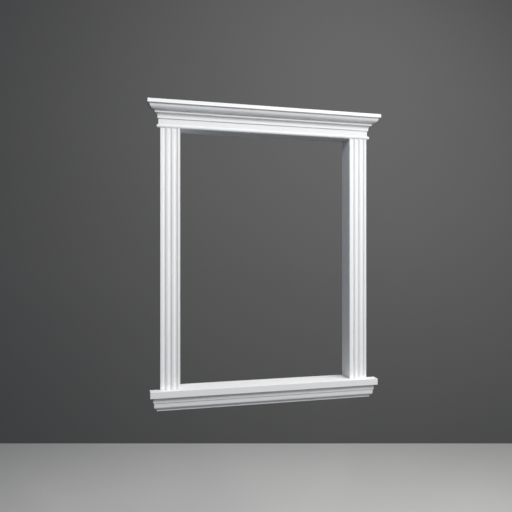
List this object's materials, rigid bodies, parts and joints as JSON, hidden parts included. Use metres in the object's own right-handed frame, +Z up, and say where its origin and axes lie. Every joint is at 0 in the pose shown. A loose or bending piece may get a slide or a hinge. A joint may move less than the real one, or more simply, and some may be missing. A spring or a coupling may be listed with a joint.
{
  "type": "window surround facade moulding",
  "caption": "White window surround for a facade: moulded head cornice with mitred returns, fluted side casings, projecting sill with moulded apron, and flat reveal linings.",
  "frame": {"origin": "centre of the sill apron's flat back face, on the plane of the wall's face", "axes": "+Z up, +Y out of the backs into the wall and the window opening, so the moulded front faces -Y; +X to the right as seen from the front"},
  "size_m": [1.519, 0.1815, 1.8788],
  "materials": {
    "facade_coat": "smooth matt white acrylic coat over rigid foam, crisp arrises softened by the coat",
    "sill_coat": "smooth matt white weather coat, slightly closer than on the mouldings",
    "lining_coat": "flat matt white coat on a thin lining board"
  },
  "bodies": {
    "root": {"head_cornice": "facade_coat", "casing_left": "facade_coat", "casing_right": "facade_coat", "sill": "sill_coat", "sill_apron": "facade_coat", "reveal_head": "lining_coat", "reveal_left": "lining_coat", "reveal_right": "lining_coat"}
  },
  "joints": []
}
